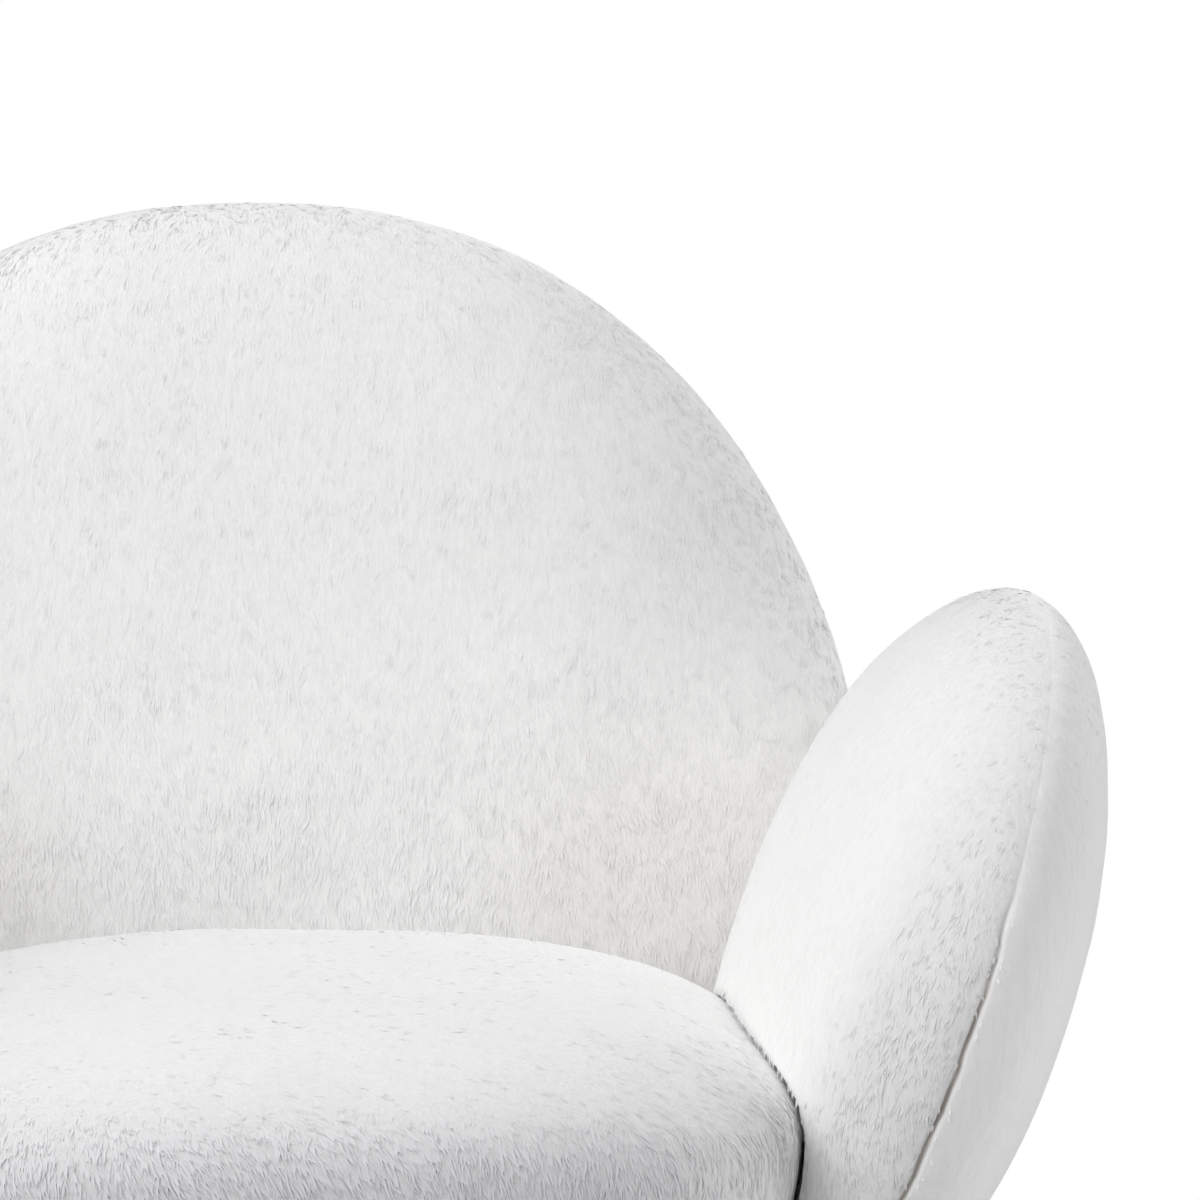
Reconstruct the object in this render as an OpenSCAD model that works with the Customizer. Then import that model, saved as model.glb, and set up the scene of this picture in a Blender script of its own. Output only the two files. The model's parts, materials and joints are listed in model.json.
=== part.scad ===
// Upholstered petal armchair on a folding tube base.
// Front faces -Y, +X is the sitter's left, +Z is up, the feet stand on Z = 0.
// Millimetres. The origin is the middle of the footprint, on the floor.

/* [Seat cushion] */
// Half width of the seat cushion at its widest level
seat_w = 245; // [225:1:248]
// Half depth of the seat cushion
seat_d = 245; // [225:1:245]
// Height of the cushion's widest level above the floor
seat_z = 396; // [380:1:400]
// Rise of the crown above the widest level
seat_crown = 62; // [40:1:80]

/* [Back pad] */
// Half width of the domed back pad
back_w = 328; // [310:1:335]
// Height of the dome above its widest level
back_up = 416; // [380:1:450]
// Depth of the pad below its widest level
back_down = 75; // [60:1:75]
// Half thickness of the back pad
back_t = 78; // [65:1:80]
// Recline of the back from the vertical, degrees
back_recline = 12; // [8:1:14]
// How far the side edges wrap forward
back_wrap = 30; // [0:1:34]

/* [Arm pads] */
// Half depth of an arm pad, front to back
arm_d = 210; // [190:1:212]
// Half height of an arm pad along its lean
arm_h = 194; // [180:1:196]
// Half thickness of an arm pad
arm_t = 75; // [60:1:76]
// Outward lean of the arms, degrees
arm_lean = 20; // [16:1:22]

/* [Folding base] */
// Height of the leg pivots above the floor
pivot_z = 227; // [222:0.5:227]
// Distance of each leg pivot from the middle, front to back
pivot_y = 238; // [237:1:240]
// Splay of each leg frame at rest, degrees
leg_splay = 10; // [8:1:11]
// Outward spread of each leg, degrees
leg_spread = 6; // [4:1:7]
// Outside radius of the axle tubes
axle_r = 12.5; // [12.5:0.5:12.5]
// Outside radius of the leg tubes
leg_r = 11; // [10:0.5:11.5]
// Wall of the leg and axle tubes
tube_wall = 1.6; // [1.2:0.1:2]

/* [Hidden] */

// thickness of the fur fabric with its pile
pile = 6;
// sides of the faceted pads, and rings from rim to crown
pad_n = 36;
pad_m = 6;
// places of the pads
seat_y = -100;
seat_low = 305;
back_y = 226.2;
back_z = 383;
arm_x = 297;
arm_y = -45;
arm_z = 442;
back_power = 2.23;
pad_round = 2.2;
panel_t = 12;
panel_scale = 0.78;
// base platform
base_w = 198;
base_d = 300;
base_y = -8;
base_power = 4;
board_low = 262;
board_t = 12;
base_top = 302;
// steel ladder frame
rail_x = 120;
rail_w = 25;
rail_h = 15;
rail_low = 246;
rail_end = 283;
cross_y = 270.5;
// brackets
strap_t = 5;
arm_strap_w = 30;
arm_strap_y = [-50, 50];
back_strap_w = 40;
// leg frames
leg_x = 180;
axle_half = 196;
stretcher_drop = 125;
stretcher_r = 8;
leg_len = pivot_z / cos(leg_splay) / cos(leg_spread);
bush_wall = 2.45;
run_gap = 0.05;

grey = "whitesmoke";

function spow(v, e) = v == 0 ? 0 : sign(v) * pow(abs(v), e);

// Closed skin over a stack of rings, with a fan at each end.
module skin(c0, rings, c1, flip = false) {
  n = len(rings[0]);
  m = len(rings);
  last = 1 + m * n;
  pts = concat([c0], [for (r = rings) for (p = r) p], [c1]);
  fan0 = [for (i = [0:n - 1]) [0, 1 + i, 1 + (i + 1) % n]];
  side = [for (j = [0:m - 2]) for (i = [0:n - 1])
    let (a = 1 + j * n + i, b = 1 + j * n + (i + 1) % n, c = b + n, d = a + n)
    each [[a, d, c], [a, c, b]]];
  fan1 = [for (i = [0:n - 1]) [last, 1 + (m - 1) * n + (i + 1) % n, 1 + (m - 1) * n + i]];
  all_faces = concat(fan0, side, fan1);
  polyhedron(points = pts, faces = flip ? [for (f = all_faces) [f[2], f[1], f[0]]] : all_faces, convexity = 8);
}

// ---- pads: a domed form either side of a seam plane (local y = 0)
// dims = [half width, half height up, half height down, half thickness, outline power, roundness, wrap]
function pad_pt(d, side, phi, th) =
  let (c = pow(cos(phi), 2 / d[5]), x = d[0] * c * spow(cos(th), 2 / d[4]),
       k = c * spow(sin(th), 2 / d[4]))
  [x, side * d[3] * pow(sin(phi), 2 / d[5]) - d[6] * pow(x / d[0], 2), k >= 0 ? d[1] * k : d[2] * k];
function pad_ring(d, side, phi) = [for (i = [0:pad_n - 1]) pad_pt(d, side, phi, 360 * i / pad_n)];
function pad_pole(d, side) = [0, side * d[3], 0];
function shrink(d, g) = [d[0] - g, d[1] - g, d[2] - g, d[3] - g, d[4], d[5], d[6]];
function panel_ring(d, y) =
  [for (i = [0:pad_n - 1]) let (th = 360 * i / pad_n, k = panel_scale * spow(sin(th), 2 / d[4]))
    [panel_scale * d[0] * spow(cos(th), 2 / d[4]), y, k >= 0 ? d[1] * k : d[2] * k]];

// one half of the foam, recessed for half of the panel
module half_foam(d, side) {
  f = shrink(d, pile);
  outer = [for (k = [1:pad_m]) pad_ring(f, side, 90 - 90 * k / pad_m)];
  y1 = side * panel_t / 2;
  skin(pad_pole(f, side), concat(outer, [panel_ring(f, 0), panel_ring(f, y1)]), [0, y1, 0], side < 0);
}
// one half of the fur cover, open at the seam
module half_cover(d, side) {
  f = shrink(d, pile);
  inner = [for (k = [1:pad_m]) pad_ring(f, side, 90 - 90 * k / pad_m)];
  outer = [for (k = [1:pad_m]) pad_ring(d, side, 90 * (k - 1) / pad_m)];
  skin(pad_pole(f, side), concat(inner, outer), pad_pole(d, side), side > 0);
}
module panel_plate(d) {
  f = shrink(d, pile);
  rotate([90, 0, 0]) linear_extrude(height = panel_t, center = true)
    polygon([for (p = panel_ring(f, 0)) [p[0], p[2]]]);
}

back_dims = [back_w, back_up, back_down, back_t, back_power, pad_round, back_wrap];
arm_dims = [arm_d, arm_h, arm_h, arm_t, 2, 2, 0];

module back_place() { translate([0, back_y, back_z]) rotate([-back_recline, 0, 0]) children(); }
// arm pad: local x front to back, local -y towards the sitter
module arm_place() { translate([arm_x, arm_y, arm_z]) rotate([0, arm_lean, 0]) rotate([0, 0, 90]) mirror([0, 1, 0]) children(); }
module left() { mirror([1, 0, 0]) children(); }

// ---- slots that the steel straps need in foam and cover
module back_strap_slots() {
  for (s = [-1, 1]) translate([s * rail_x - back_strap_w / 2 - 0.5, -panel_t / 2 - strap_t - 5, -140])
    cube([back_strap_w + 1, strap_t + 5, 140 + back_strap_top + 0.5]);
}
module arm_strap_slots() {
  for (p = arm_strap_y) translate([p - arm_strap_w / 2 - 0.5, -panel_t / 2 - strap_t - 5, -225])
    cube([arm_strap_w + 1, strap_t + 5, 165.5]);
}

// ---- back
back_bolt_z = [-22, 22];
back_strap_top = 42;
arm_bolt_z = [-120, -80];
module cross_bolt(r, y0, y1) { translate([0, y0, 0]) rotate([-90, 0, 0]) cylinder(r = r, h = y1 - y0, $fn = 32); }
module back_holes(r, y0, y1) {
  for (s = [-1, 1]) for (z = back_bolt_z) translate([s * rail_x, 0, z]) cross_bolt(r, y0, y1);
}
module arm_holes(r, y0, y1) {
  for (p = arm_strap_y) for (z = arm_bolt_z) translate([p, 0, z]) cross_bolt(r, y0, y1);
}
module back_panel() {
  color("burlywood") back_place() difference() { panel_plate(back_dims); back_holes(5, -20, 20); }
}
module back_foam_front() {
  color("khaki") back_place() difference() { half_foam(back_dims, -1); back_strap_slots(); }
}
module back_foam_rear() { color("khaki") back_place() half_foam(back_dims, 1); }
module back_cover_front() {
  color(grey) back_place() difference() { half_cover(back_dims, -1); back_strap_slots(); }
}
module back_cover_rear() { color(grey) back_place() half_cover(back_dims, 1); }

// ---- arms
dent_gap = 0.3;
module arm_panel() { arm_place() difference() { panel_plate(arm_dims); arm_holes(5, -20, 20); } }
// the inner half of an arm pad as one solid form
module arm_inner_form() {
  arm_place() skin(pad_pole(arm_dims, -1),
    [for (k = [1:pad_m]) pad_ring(arm_dims, -1, 90 - 90 * k / pad_m)], [0, 0, 0], true);
}
module arm_foam_inner() {
  difference() {
    arm_place() difference() { half_foam(arm_dims, -1); arm_strap_slots(); }
    seat_form(pile + dent_gap);
  }
}
module arm_foam_outer() { arm_place() half_foam(arm_dims, 1); }
module arm_cover_inner() {
  difference() {
    union() {
      arm_place() difference() { half_cover(arm_dims, -1); arm_strap_slots(); }
      intersection() { seat_form(pile + dent_gap); arm_inner_form(); }
    }
    seat_form(dent_gap);
  }
}
module arm_cover_outer() { arm_place() half_cover(arm_dims, 1); }
module right_arm_panel() { color("burlywood") arm_panel(); }
module right_arm_foam_inner() { color("khaki") arm_foam_inner(); }
module right_arm_foam_outer() { color("khaki") arm_foam_outer(); }
module right_arm_cover_inner() { color(grey) arm_cover_inner(); }
module right_arm_cover_outer() { color(grey) arm_cover_outer(); }
module left_arm_panel() { color("burlywood") left() arm_panel(); }
module left_arm_foam_inner() { color("khaki") left() arm_foam_inner(); }
module left_arm_foam_outer() { color("khaki") left() arm_foam_outer(); }
module left_arm_cover_inner() { color(grey) left() arm_cover_inner(); }
module left_arm_cover_outer() { color(grey) left() arm_cover_outer(); }

// ---- seat cushion: a crowned pillow with a fuller roll in front; the arm pads are dented where it presses
seat_n = 60;
seat_power = 2.6;
seat_roll = 4;
// one level ring, k wide and kf deep in front
function seat_ring(k, kf, z, g) =
  [for (i = [0:seat_n - 1]) let (th = 360 * i / seat_n, s = spow(sin(th), 2 / seat_power))
    [k * (seat_w - g) * spow(cos(th), 2 / seat_power), seat_y + (s < 0 ? kf : k) * (seat_d - g) * s, z]];
function seat_rings(g, low) = concat(
  [for (j = [0:3]) let (z = low + (seat_z - low) * j / 4, k = 1 - 0.16 * pow((seat_z - z) / (seat_z - seat_low), 2.2))
    seat_ring(k, k, z, g)],
  [for (j = [0:6]) let (phi = 14 * j, rise = pow(sin(phi), 2 / pad_round))
    seat_ring(pow(cos(phi), 2 / pad_round), pow(1 - pow(rise, seat_roll), 1 / seat_roll), seat_z + (seat_crown - g) * rise, g)]);
function downwards(rings) = [for (j = [len(rings) - 1:-1:0]) rings[j]];
// the cushion's whole outer form, grown by g
module seat_form(g) {
  skin([0, seat_y, seat_z + seat_crown + g], downwards(seat_rings(-g, seat_low)), [0, seat_y, seat_low], true);
}
module seat_cushion_foam() {
  color("khaki") difference() {
    skin([0, seat_y, seat_z + seat_crown - pile], downwards(seat_rings(pile, seat_low)), [0, seat_y, seat_low], true);
    translate([-300, -400, seat_low - 5]) cube([600, 600, 7]);
  }
}
module seat_cover() {
  color(grey) skin([0, seat_y, seat_z + seat_crown - pile],
    concat(downwards(seat_rings(pile, seat_low)), seat_rings(0, seat_low)), [0, seat_y, seat_z + seat_crown]);
}
module seat_cushion_base() {
  color("gainsboro") translate([0, 0, seat_low]) linear_extrude(height = 2)
    polygon([for (p = seat_rings(pile + 1, seat_low)[0]) [p[0], p[1]]]);
}

// ---- base platform under the cushion
base_n = 48;
function base_outline(g) = [for (i = [0:base_n - 1]) let (th = 360 * i / base_n)
  [(base_w - g) * spow(cos(th), 2 / base_power), base_y + (base_d - g) * spow(sin(th), 2 / base_power)]];
board_bolt_y = [-200, 85];
module board_bolt_holes(r, z0, z1) {
  for (s = [-1, 1]) for (y = board_bolt_y) translate([s * rail_x, y, z0]) cylinder(r = r, h = z1 - z0, $fn = 32);
}
module foot_bolt_holes(z0, z1) {
  for (s = [-1, 1]) for (y = back_foot_y) translate([s * rail_x, y, z0]) cylinder(r = 3.2, h = z1 - z0, $fn = 32);
}
module base_board() {
  color("burlywood") difference() {
    translate([0, 0, board_low]) linear_extrude(height = board_t) polygon(base_outline(8));
    board_bolt_holes(5.5, board_low - 1, board_low + board_t + 1);
    foot_bolt_holes(board_low - 1, board_low + board_t + 1);
  }
}
module base_pad() {
  color("khaki") difference() {
    translate([0, 0, board_low + board_t]) linear_extrude(height = base_top - board_low - board_t) polygon(base_outline(8));
    board_bolt_holes(12, board_low + board_t - 1, board_low + board_t + 3);
    for (s = [-1, 1]) translate([s * rail_x - back_strap_w / 2 - 0.5, foot_y - 1, board_low + board_t - 1])
      cube([back_strap_w + 1, 76, 40]);
  }
}
module base_cover() {
  color(grey) difference() {
    translate([0, 0, board_low]) linear_extrude(height = seat_low - board_low) polygon(base_outline(0));
    translate([0, 0, board_low - 1]) linear_extrude(height = base_top - board_low + 1) polygon(base_outline(8));
    for (s = [-1, 1]) translate([s * rail_x - back_strap_w / 2 - 0.5, foot_y + 55, base_top - 1])
      cube([back_strap_w + 1, 20, 10]);
  }
}
module dust_cover() {
  color("dimgray") difference() {
    translate([0, 0, board_low - 1]) linear_extrude(height = 1) polygon(base_outline(14));
    board_bolt_holes(4.2, board_low - 2, board_low + 1);
    foot_bolt_holes(board_low - 2, board_low + 1);
  }
}
module board_bolts() {
  color("silver") for (s = [-1, 1]) for (y = board_bolt_y) translate([s * rail_x, y, 0]) {
    translate([0, 0, rail_low - 5]) cylinder(r = 7, h = 5, $fn = 6);
    translate([0, 0, rail_low]) cylinder(r = 4, h = board_low + board_t - 2 - rail_low, $fn = 32);
  }
}
module tee_nuts() {
  color("silver") for (s = [-1, 1]) for (y = board_bolt_y) translate([s * rail_x, y, board_low + 1])
    difference() {
      union() { cylinder(r = 5.5, h = board_t - 1, $fn = 32); translate([0, 0, board_t - 1]) cylinder(r = 11, h = 1.5, $fn = 32); }
      translate([0, 0, -1]) cylinder(r = 4, h = board_t + 4, $fn = 32);
    }
}

// ---- steel ladder frame
module box_tube_y(w, h, l, t) {
  difference() {
    translate([-w / 2, -l / 2, 0]) cube([w, l, h]);
    translate([-w / 2 + t, -l / 2 - 1, t]) cube([w - 2 * t, l + 2, h - 2 * t]);
  }
}
module long_rails() {
  color("dimgray") difference() {
    for (s = [-1, 1]) translate([s * rail_x, 0, rail_low]) box_tube_y(rail_w, rail_h, 2 * rail_end, 1.5);
    board_bolt_holes(4.2, rail_low - 1, rail_low + rail_h + 1);
    foot_bolt_holes(rail_low - 1, rail_low + rail_h + 1);
  }
}
module cross_rails() {
  color("dimgray") for (s = [-1, 1]) translate([0, s * cross_y, rail_low]) rotate([0, 0, 90])
    box_tube_y(rail_w, rail_h, 2 * rail_x - rail_w, 1.5);
}
module rail_end_caps() {
  color("black") for (s = [-1, 1]) for (e = [-1, 1]) translate([s * rail_x, e * rail_end, rail_low]) {
    translate([-rail_w / 2, e > 0 ? 0 : -2.5, 0]) cube([rail_w, 2.5, rail_h]);
    translate([-rail_w / 2 + 1.5, e > 0 ? -8 : 0, 1.5]) cube([rail_w - 3, 8, rail_h - 3]);
  }
}
module stop_pads() {
  color("black") for (s = [-1, 1]) for (e = [-1, 1])
    translate([s * 60 - 8, e * cross_y - 7, rail_low - 5]) cube([16, 14, 5]);
}

// ---- arm brackets: flat bars from the rails, bent up along the arm panels
function arm_line(t, h) = [arm_x + t * cos(arm_lean) + h * sin(arm_lean), arm_z - t * sin(arm_lean) + h * cos(arm_lean)];
function arm_at_z(t, z) = arm_line(t, (z - arm_z + t * sin(arm_lean)) / cos(arm_lean));
bar_low = 250;
arm_strap_top = -60;
module arm_bracket_shape() {
  t0 = -panel_t / 2;
  t1 = t0 - strap_t;
  polygon([[rail_x + rail_w / 2, bar_low], arm_at_z(t0, bar_low), arm_line(t0, arm_strap_top),
    arm_line(t1, arm_strap_top), arm_at_z(t1, bar_low + strap_t), [rail_x + rail_w / 2, bar_low + strap_t]]);
}
module arm_bracket_pair() {
  for (p = arm_strap_y) difference() {
    translate([0, arm_y + p + arm_strap_w / 2, 0]) rotate([90, 0, 0]) linear_extrude(height = arm_strap_w) arm_bracket_shape();
    arm_place() arm_holes(3.2, -20, 0);
  }
}
module arm_brackets() { color("dimgray") { arm_bracket_pair(); left() arm_bracket_pair(); } }
module arm_bolt_set() {
  arm_place() {
    arm_holes(3, -panel_t / 2 - strap_t, panel_t / 2 - 2);
    arm_holes(5.5, -panel_t / 2 - strap_t - 3.5, -panel_t / 2 - strap_t);
  }
}
module arm_bracket_bolts() { color("silver") { arm_bolt_set(); left() arm_bolt_set(); } }

// ---- back brackets: flat bars from the rails, bent up along the back panel
function back_line(t, h) = [back_y + t * cos(back_recline) + h * sin(back_recline), back_z - t * sin(back_recline) + h * cos(back_recline)];
function back_at_z(t, z) = back_line(t, (z - back_z + t * sin(back_recline)) / cos(back_recline));
back_foot_y = [154, 178];
foot_low = board_low + board_t;
foot_y = 140;
module back_bracket_shape() {
  t0 = -panel_t / 2;
  t1 = t0 - strap_t;
  polygon([[foot_y, foot_low], back_at_z(t0, foot_low), back_line(t0, back_strap_top), back_line(t1, back_strap_top),
    back_at_z(t1, foot_low + strap_t), [foot_y, foot_low + strap_t]]);
}
module back_brackets() {
  color("dimgray") for (s = [-1, 1]) difference() {
    translate([s * rail_x - back_strap_w / 2, 0, 0]) rotate([90, 0, 90]) linear_extrude(height = back_strap_w) back_bracket_shape();
    back_place() back_holes(3.2, -20, 0);
    foot_bolt_holes(foot_low - 1, foot_low + strap_t + 1);
  }
}
module back_bracket_bolts() {
  color("silver") {
    back_place() {
      back_holes(3, -panel_t / 2 - strap_t, panel_t / 2 - 2);
      back_holes(5.5, -panel_t / 2 - strap_t - 3.5, -panel_t / 2 - strap_t);
    }
    for (s = [-1, 1]) for (y = back_foot_y) translate([s * rail_x, y, 0]) {
      translate([0, 0, rail_low - 4]) cylinder(r = 6, h = 4, $fn = 6);
      translate([0, 0, rail_low]) cylinder(r = 3, h = foot_low + strap_t - rail_low, $fn = 32);
      translate([0, 0, foot_low + strap_t]) cylinder(r = 5.5, h = 3.5, $fn = 32);
    }
  }
}
module threaded_inserts() {
  color("gold") {
    back_place() difference() { back_holes(5, -panel_t / 2, panel_t / 2); back_holes(3, -20, 20); }
    for (m = [0, 1]) mirror([m, 0, 0]) arm_place()
      difference() { arm_holes(5, -panel_t / 2, panel_t / 2); arm_holes(3, -20, 20); }
  }
}

// ---- hinges. e = -1 for the front frame, 1 for the rear frame
module along_x(x0, x1, r) { translate([x0, 0, 0]) rotate([0, 90, 0]) cylinder(r = r, h = x1 - x0, $fn = 48); }
module at_pivot(e) { translate([0, e * pivot_y, pivot_z]) children(); }
bush_r = axle_r + run_gap + bush_wall;
module hinge_blocks(e) {
  color("dimgray") for (s = [-1, 1]) at_pivot(e) translate([s * rail_x, 0, 0]) difference() {
    union() {
      along_x(-15, 15, 19);
      translate([-15, -19, 0]) cube([30, 38, rail_low - pivot_z]);
    }
    along_x(-20, 20, bush_r);
  }
}
module bushes(e) {
  color("ivory") for (s = [-1, 1]) at_pivot(e) translate([s * rail_x, 0, 0]) difference() {
    union() { along_x(-15.7, 15.7, bush_r); along_x(15, 16, bush_r + 2.5); along_x(-16, -15, bush_r + 2.5); }
    along_x(-20, 20, axle_r + run_gap);
  }
}
module front_hinge_blocks() { hinge_blocks(-1); }
module rear_hinge_blocks() { hinge_blocks(1); }
module front_bushes() { bushes(-1); }
module rear_bushes() { bushes(1); }

// ---- leg frames
module at_frame(e) { at_pivot(e) rotate([e * leg_splay, 0, 0]) children(); }
module on_leg(s) { translate([s * leg_x, 0, 0]) rotate([0, s * (180 - leg_spread), 0]) children(); }
module axle_tube(e) {
  color("dimgray") at_pivot(e) difference() { along_x(-axle_half, axle_half, axle_r); along_x(-axle_half - 1, axle_half + 1, axle_r - tube_wall); }
}
module leg_tubes(e) {
  color("dimgray") at_frame(e) for (s = [-1, 1]) difference() {
    on_leg(s) difference() {
      cylinder(r = leg_r, h = leg_len - 7, $fn = 48);
      translate([0, 0, -1]) cylinder(r = leg_r - tube_wall, h = leg_len, $fn = 48);
    }
    along_x(-axle_half - 5, axle_half + 5, axle_r);
  }
}
module stretcher(e) {
  half = leg_x + stretcher_drop * tan(leg_spread);
  color("dimgray") at_frame(e) difference() {
    translate([0, 0, -stretcher_drop]) along_x(-half, half, stretcher_r);
    translate([0, 0, -stretcher_drop]) along_x(-half - 1, half + 1, stretcher_r - 1.5);
    for (s = [-1, 1]) on_leg(s) cylinder(r = leg_r, h = leg_len, $fn = 48);
  }
}
module axle_caps(e) {
  color("black") at_pivot(e) for (s = [-1, 1]) mirror([s < 0 ? 1 : 0, 0, 0]) {
    along_x(axle_half, axle_half + 3, axle_r);
    along_x(axle_half - 8, axle_half, axle_r - tube_wall);
  }
}
module collars(e) {
  color("dimgray") at_pivot(e) for (s = [-1, 1]) mirror([s < 0 ? 1 : 0, 0, 0]) difference() {
    along_x(rail_x + 16.5, rail_x + 24.5, axle_r + 4.5);
    along_x(rail_x + 10, rail_x + 30, axle_r);
  }
}
module stop_lugs(e) {
  color("dimgray") at_pivot(e) for (s = [-1, 1]) difference() {
    translate([s * 60 - 4, 0, 0]) rotate([90, 0, 90]) linear_extrude(height = 8)
      polygon([[e * 38, 13.6], [e * 38, 6], [e * 12, -9], [0, 0], [0, 13.6]]);
    along_x(-axle_half, axle_half, axle_r);
  }
}
module feet(e) {
  color("black") intersection() {
    at_frame(e) for (s = [-1, 1]) on_leg(s) difference() {
      translate([0, 0, leg_len - 34]) cylinder(r = leg_r + 3.5, h = 50, $fn = 48);
      translate([0, 0, leg_len - 60]) cylinder(r = leg_r, h = 53, $fn = 48);
    }
    translate([-400, -450, 0]) cube([800, 900, 80]);
  }
}
module front_axle_tube() { axle_tube(-1); }
module front_leg_tubes() { leg_tubes(-1); }
module front_stretcher() { stretcher(-1); }
module front_axle_caps() { axle_caps(-1); }
module front_collars() { collars(-1); }
module front_stop_lugs() { stop_lugs(-1); }
module front_feet() { feet(-1); }
module rear_axle_tube() { axle_tube(1); }
module rear_leg_tubes() { leg_tubes(1); }
module rear_stretcher() { stretcher(1); }
module rear_axle_caps() { axle_caps(1); }
module rear_collars() { collars(1); }
module rear_stop_lugs() { stop_lugs(1); }
module rear_feet() { feet(1); }

seat_cover();
seat_cushion_foam();
seat_cushion_base();
base_cover();
base_pad();
base_board();
dust_cover();
back_panel();
back_foam_front();
back_foam_rear();
back_cover_front();
back_cover_rear();
right_arm_panel();
right_arm_foam_inner();
right_arm_foam_outer();
right_arm_cover_inner();
right_arm_cover_outer();
left_arm_panel();
left_arm_foam_inner();
left_arm_foam_outer();
left_arm_cover_inner();
left_arm_cover_outer();
long_rails();
cross_rails();
rail_end_caps();
board_bolts();
tee_nuts();
arm_brackets();
arm_bracket_bolts();
back_brackets();
back_bracket_bolts();
threaded_inserts();
front_hinge_blocks();
rear_hinge_blocks();
front_bushes();
rear_bushes();
stop_pads();
front_axle_tube();
front_leg_tubes();
front_stretcher();
front_axle_caps();
front_collars();
front_stop_lugs();
front_feet();
rear_axle_tube();
rear_leg_tubes();
rear_stretcher();
rear_axle_caps();
rear_collars();
rear_stop_lugs();
rear_feet();
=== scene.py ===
"""Looks of a folding upholstered armchair in white short-pile fur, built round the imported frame."""
import json
import math

import bpy
import numpy as np
from mathutils import Matrix, Vector


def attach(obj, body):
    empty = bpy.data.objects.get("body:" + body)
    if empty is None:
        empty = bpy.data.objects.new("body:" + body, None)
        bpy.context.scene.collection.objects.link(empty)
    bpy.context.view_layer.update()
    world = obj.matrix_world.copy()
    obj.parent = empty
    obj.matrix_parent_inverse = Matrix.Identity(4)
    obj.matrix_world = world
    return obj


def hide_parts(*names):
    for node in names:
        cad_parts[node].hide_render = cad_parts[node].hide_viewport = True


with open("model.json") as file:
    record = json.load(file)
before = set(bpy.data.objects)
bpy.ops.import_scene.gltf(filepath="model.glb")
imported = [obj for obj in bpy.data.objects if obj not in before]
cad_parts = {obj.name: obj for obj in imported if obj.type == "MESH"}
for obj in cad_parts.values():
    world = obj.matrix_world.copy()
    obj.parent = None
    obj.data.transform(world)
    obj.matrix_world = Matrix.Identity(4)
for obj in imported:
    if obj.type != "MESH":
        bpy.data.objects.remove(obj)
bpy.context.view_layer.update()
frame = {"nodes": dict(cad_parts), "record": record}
BODY = "upholstered_body"
scene = bpy.context.scene
scene.view_settings.view_transform = "Standard"
scene.view_settings.look = "None"
scene.view_settings.exposure = 0.0
scene.view_settings.gamma = 1.0


# ---------------------------------------------------------------- camera, light, floor
def make_camera():
    data = bpy.data.cameras.new("camera")
    data.sensor_fit = "HORIZONTAL"
    data.sensor_width = 36.0
    data.lens = 36.0 * 5660.0 / 1200.0
    data.clip_start, data.clip_end = 0.05, 100.0
    cam = bpy.data.objects.new("camera", data)
    scene.collection.objects.link(cam)
    aim = Vector((0.1824, 0.270, 0.5786))
    yaw, elevation, distance = math.radians(5.0), math.radians(8.0), 3.0
    look = Vector((math.sin(yaw) * math.cos(elevation), math.cos(yaw) * math.cos(elevation), -math.sin(elevation)))
    cam.location = aim - look * distance
    cam.rotation_mode = "QUATERNION"
    cam.rotation_quaternion = look.to_track_quat("-Z", "Y")
    scene.camera = cam
    return cam


def area_light(name, place, target, size, power, colour):
    data = bpy.data.lights.new(name, "AREA")
    data.shape = "RECTANGLE"
    data.size, data.size_y = size
    data.energy = power
    data.color = colour
    light = bpy.data.objects.new(name, data)
    scene.collection.objects.link(light)
    light.location = place
    light.rotation_mode = "QUATERNION"
    light.rotation_quaternion = (Vector(target) - Vector(place)).to_track_quat("-Z", "Y")
    return light


def make_world():
    world = bpy.data.worlds.new("studio")
    scene.world = world
    world.use_nodes = True
    nt = world.node_tree
    nt.nodes.clear()
    out = nt.nodes.new("ShaderNodeOutputWorld")
    mix = nt.nodes.new("ShaderNodeMixShader")
    path = nt.nodes.new("ShaderNodeLightPath")
    white = nt.nodes.new("ShaderNodeBackground")
    white.inputs["Color"].default_value = (1, 1, 1, 1)
    white.inputs["Strength"].default_value = 1.0
    soft = nt.nodes.new("ShaderNodeBackground")
    coord = nt.nodes.new("ShaderNodeTexCoord")
    total = nt.nodes.new("ShaderNodeMath")
    total.operation = "ADD"
    total.inputs[0].default_value = AMBIENT
    total.inputs[1].default_value = 0.0
    for direction, strength in LOBES:
        toward = nt.nodes.new("ShaderNodeVectorMath")
        toward.operation = "DOT_PRODUCT"
        toward.inputs[1].default_value = Vector(direction).normalized()
        near = nt.nodes.new("ShaderNodeMapRange")
        near.inputs["From Min"].default_value = -1.0
        near.inputs["From Max"].default_value = 1.0
        square = nt.nodes.new("ShaderNodeMath")
        square.operation = "POWER"
        square.inputs[1].default_value = 2.0
        add = nt.nodes.new("ShaderNodeMath")
        add.operation = "MULTIPLY_ADD"
        add.inputs[1].default_value = strength
        nt.links.new(coord.outputs["Generated"], toward.inputs[0])
        nt.links.new(toward.outputs["Value"], near.inputs["Value"])
        nt.links.new(near.outputs["Result"], square.inputs[0])
        nt.links.new(square.outputs[0], add.inputs[0])
        nt.links.new(total.outputs[0], add.inputs[2])
        total = add
    nt.links.new(total.outputs[0], soft.inputs["Strength"])
    soft.inputs["Color"].default_value = (0.972, 0.982, 1.0, 1)
    nt.links.new(path.outputs["Is Camera Ray"], mix.inputs[0])
    nt.links.new(soft.outputs[0], mix.inputs[1])
    nt.links.new(white.outputs[0], mix.inputs[2])
    nt.links.new(mix.outputs[0], out.inputs[0])


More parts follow.
